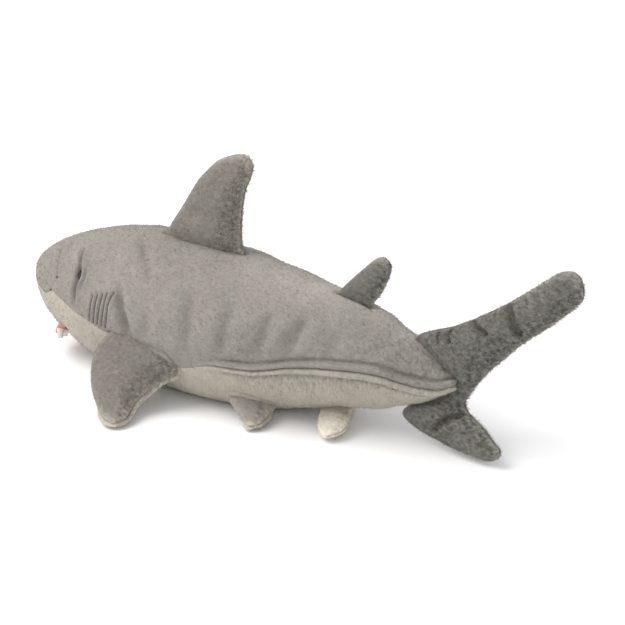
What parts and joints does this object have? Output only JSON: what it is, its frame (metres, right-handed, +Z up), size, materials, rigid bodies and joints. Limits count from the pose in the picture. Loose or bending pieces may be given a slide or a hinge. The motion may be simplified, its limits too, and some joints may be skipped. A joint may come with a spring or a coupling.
{
  "type": "plush shark",
  "caption": "Stuffed plush shark on its belly: short grey pile back, cream pile belly, stitched gill slits, open mouth with felt teeth, and separately stuffed fins and tail.",
  "frame": {"origin": "on the surface the shark lies on, under the centre of its bounding box", "axes": "+Z up, -Y towards the snout and +Y towards the tail, +X the shark's left side"},
  "size_m": [0.1902, 0.414, 0.172],
  "materials": {
    "back_plush": "short plush pile, matt",
    "cream_plush": "short plush pile, matt",
    "fin_plush": "short plush pile, matt",
    "tail_plush": "short plush pile, matt",
    "mouth_fabric": "short velour, matt",
    "tooth_felt": "felt, matt",
    "stitching": "satin stitched thread",
    "stuffing": "loose polyester fibre",
    "eye_plastic": "polished",
    "washer_plastic": "moulded"
  },
  "bodies": {
    "torso": {"back_left_panel": "back_plush", "back_right_panel": "back_plush", "nose_panel": "back_plush", "belly_panel": "cream_plush", "body_stuffing": "stuffing", "mouth_lining": "mouth_fabric", "upper_teeth": "tooth_felt", "lower_teeth": "tooth_felt", "eye_left": "eye_plastic", "eye_right": "eye_plastic", "eye_washer_left": "washer_plastic", "eye_washer_right": "washer_plastic", "nostril_left": "stitching", "nostril_right": "stitching", "gill_stitches_left": "stitching", "gill_stitches_right": "stitching"},
    "dorsal_fin": {"dorsal_left_panel": "fin_plush", "dorsal_right_panel": "fin_plush", "dorsal_stuffing": "stuffing"},
    "rear_dorsal_fin": {"rear_dorsal_left_panel": "fin_plush", "rear_dorsal_right_panel": "fin_plush", "rear_dorsal_stuffing": "stuffing"},
    "pectoral_fin_left": {"pectoral_left_upper_panel": "fin_plush", "pectoral_left_lower_panel": "cream_plush", "pectoral_left_stuffing": "stuffing"},
    "pectoral_fin_right": {"pectoral_right_upper_panel": "fin_plush", "pectoral_right_lower_panel": "cream_plush", "pectoral_right_stuffing": "stuffing"},
    "pelvic_fin_left": {"pelvic_left_upper_panel": "fin_plush", "pelvic_left_lower_panel": "cream_plush", "pelvic_left_stuffing": "stuffing"},
    "pelvic_fin_right": {"pelvic_right_upper_panel": "fin_plush", "pelvic_right_lower_panel": "cream_plush", "pelvic_right_stuffing": "stuffing"},
    "anal_fin": {"anal_left_panel": "cream_plush", "anal_right_panel": "cream_plush", "anal_stuffing": "stuffing"},
    "tail_fin": {"tail_left_panel": "tail_plush", "tail_right_panel": "tail_plush", "tail_stuffing": "stuffing"}
  },
  "joints": [
    {"name": "dorsal_lean", "type": "hinge", "parent": "torso", "child": "dorsal_fin", "pos_m": [0, -0.068, 0.1105], "axis": [0, 1, 0], "range_deg": [-20, 20], "stiffness_Nm_per_rad": 0.15},
    {"name": "rear_dorsal_lean", "type": "hinge", "parent": "torso", "child": "rear_dorsal_fin", "pos_m": [-0.0025, 0.047, 0.093], "axis": [0, 0.9887, -0.1501], "range_deg": [-20, 20], "stiffness_Nm_per_rad": 0.06},
    {"name": "pectoral_left_flap", "type": "hinge", "parent": "torso", "child": "pectoral_fin_left", "pos_m": [0.0536, -0.098, 0.032], "axis": [0.0503, -0.9665, 0.2517], "range_deg": [0, 40], "stiffness_Nm_per_rad": 0.12},
    {"name": "pectoral_right_flap", "type": "hinge", "parent": "torso", "child": "pectoral_fin_right", "pos_m": [-0.0536, -0.098, 0.032], "axis": [0.0503, 0.9665, -0.2517], "range_deg": [0, 40], "stiffness_Nm_per_rad": 0.12},
    {"name": "pelvic_left_flap", "type": "hinge", "parent": "torso", "child": "pelvic_fin_left", "pos_m": [0.036, -0.0115, 0.0083], "axis": [0.3224, -0.9372, 0.1332], "range_deg": [0, 25], "stiffness_Nm_per_rad": 0.05},
    {"name": "pelvic_right_flap", "type": "hinge", "parent": "torso", "child": "pelvic_fin_right", "pos_m": [-0.036, -0.0115, 0.0083], "axis": [0.3224, 0.9372, -0.1332], "range_deg": [0, 25], "stiffness_Nm_per_rad": 0.05},
    {"name": "anal_fin_lift", "type": "hinge", "parent": "torso", "child": "anal_fin", "pos_m": [0.0145, 0.041, 0.0076], "axis": [0.168, -0.9831, -0.073], "range_deg": [0, 15], "stiffness_Nm_per_rad": 0.05},
    {"name": "tail_sway", "type": "hinge", "parent": "torso", "child": "tail_fin", "pos_m": [0, 0.107, 0.05], "axis": [0, 0, 1], "range_deg": [-25, 25], "stiffness_Nm_per_rad": 0.4}
  ]
}
